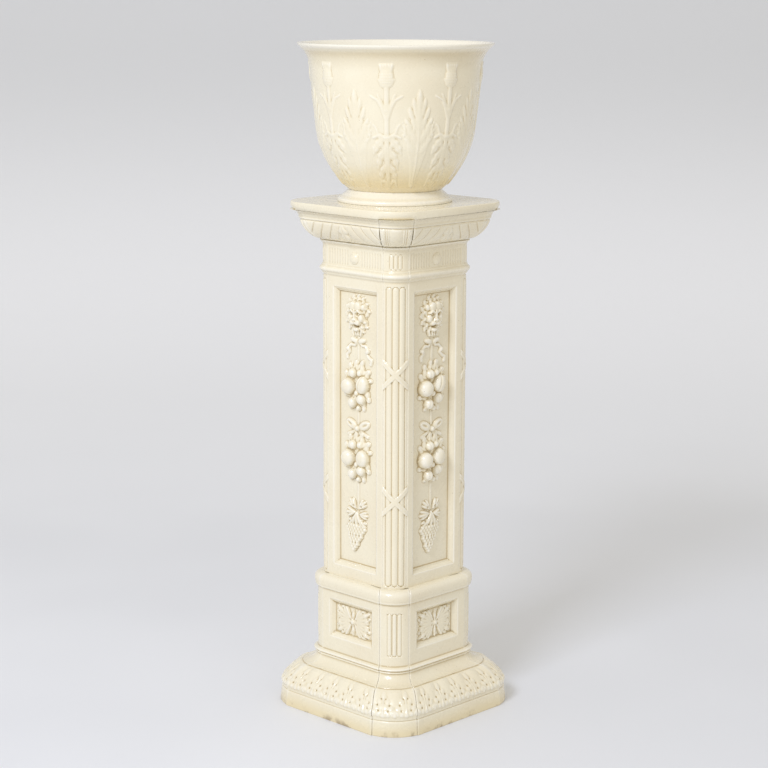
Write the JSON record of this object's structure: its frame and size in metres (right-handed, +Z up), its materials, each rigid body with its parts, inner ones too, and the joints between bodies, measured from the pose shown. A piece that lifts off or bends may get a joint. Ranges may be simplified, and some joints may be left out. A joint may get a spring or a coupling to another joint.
{
  "type": "jardiniere on stand",
  "caption": "Glazed earthenware flower pot on a tall square column with table top and spreading plinth, with reeded corners, sunk panels and hanging fruit relief",
  "frame": {"origin": "on the floor, in the middle of the plinth's footprint, bottom centre of the bounding box", "axes": "+Z up through the middle of the stand and the pot; the four faces of the stand look along +X, -X, +Y and -Y"},
  "size_m": [0.3217, 0.3218, 1.12],
  "materials": {
    "cream_glaze": "gloss",
    "biscuit_clay": "matte"
  },
  "bodies": {
    "plinth": {"plinth_face_front": "cream_glaze", "plinth_face_right": "cream_glaze", "plinth_face_back": "cream_glaze", "plinth_face_left": "cream_glaze", "plinth_corner_front_right": "cream_glaze", "plinth_corner_back_right": "cream_glaze", "plinth_corner_back_left": "cream_glaze", "plinth_corner_front_left": "cream_glaze", "foot_face_front": "cream_glaze", "foot_face_right": "cream_glaze", "foot_face_back": "cream_glaze", "foot_face_left": "cream_glaze", "foot_corner_front_right": "cream_glaze", "foot_corner_back_right": "cream_glaze", "foot_corner_back_left": "cream_glaze", "foot_corner_front_left": "cream_glaze", "locating_lug_front": "biscuit_clay", "locating_lug_right": "biscuit_clay", "locating_lug_back": "biscuit_clay", "locating_lug_left": "biscuit_clay", "leaf_rosette_front": "cream_glaze", "leaf_rosette_right": "cream_glaze", "leaf_rosette_back": "cream_glaze", "leaf_rosette_left": "cream_glaze"},
    "column": {"table_slab": "cream_glaze", "cap_face_front": "cream_glaze", "cap_face_right": "cream_glaze", "cap_face_back": "cream_glaze", "cap_face_left": "cream_glaze", "cap_corner_front_right": "cream_glaze", "cap_corner_back_right": "cream_glaze", "cap_corner_back_left": "cream_glaze", "cap_corner_front_left": "cream_glaze", "shaft_face_front": "cream_glaze", "shaft_face_right": "cream_glaze", "shaft_face_back": "cream_glaze", "shaft_face_left": "cream_glaze", "shaft_corner_front_right": "cream_glaze", "shaft_corner_back_right": "cream_glaze", "shaft_corner_back_left": "cream_glaze", "shaft_corner_front_left": "cream_glaze", "frieze_boss_front": "cream_glaze", "frieze_boss_right": "cream_glaze", "frieze_boss_back": "cream_glaze", "frieze_boss_left": "cream_glaze", "lion_mask_front": "cream_glaze", "lion_mask_right": "cream_glaze", "lion_mask_back": "cream_glaze", "lion_mask_left": "cream_glaze", "fruit_drop_front": "cream_glaze", "fruit_drop_right": "cream_glaze", "fruit_drop_back": "cream_glaze", "fruit_drop_left": "cream_glaze"},
    "jardiniere": {"pot_bowl": "cream_glaze", "pot_foot_ring": "cream_glaze", "thistle_stems": "cream_glaze", "acanthus_leaves": "cream_glaze"}
  },
  "joints": [
    {"name": "column_lift", "type": "slide", "parent": "plinth", "child": "column", "axis": [0, 0, 1], "range_m": [0, 0.06]},
    {"name": "jardiniere_lift", "type": "slide", "parent": "column", "child": "jardiniere", "axis": [0, 0, 1], "range_m": [0, 0.12]}
  ]
}
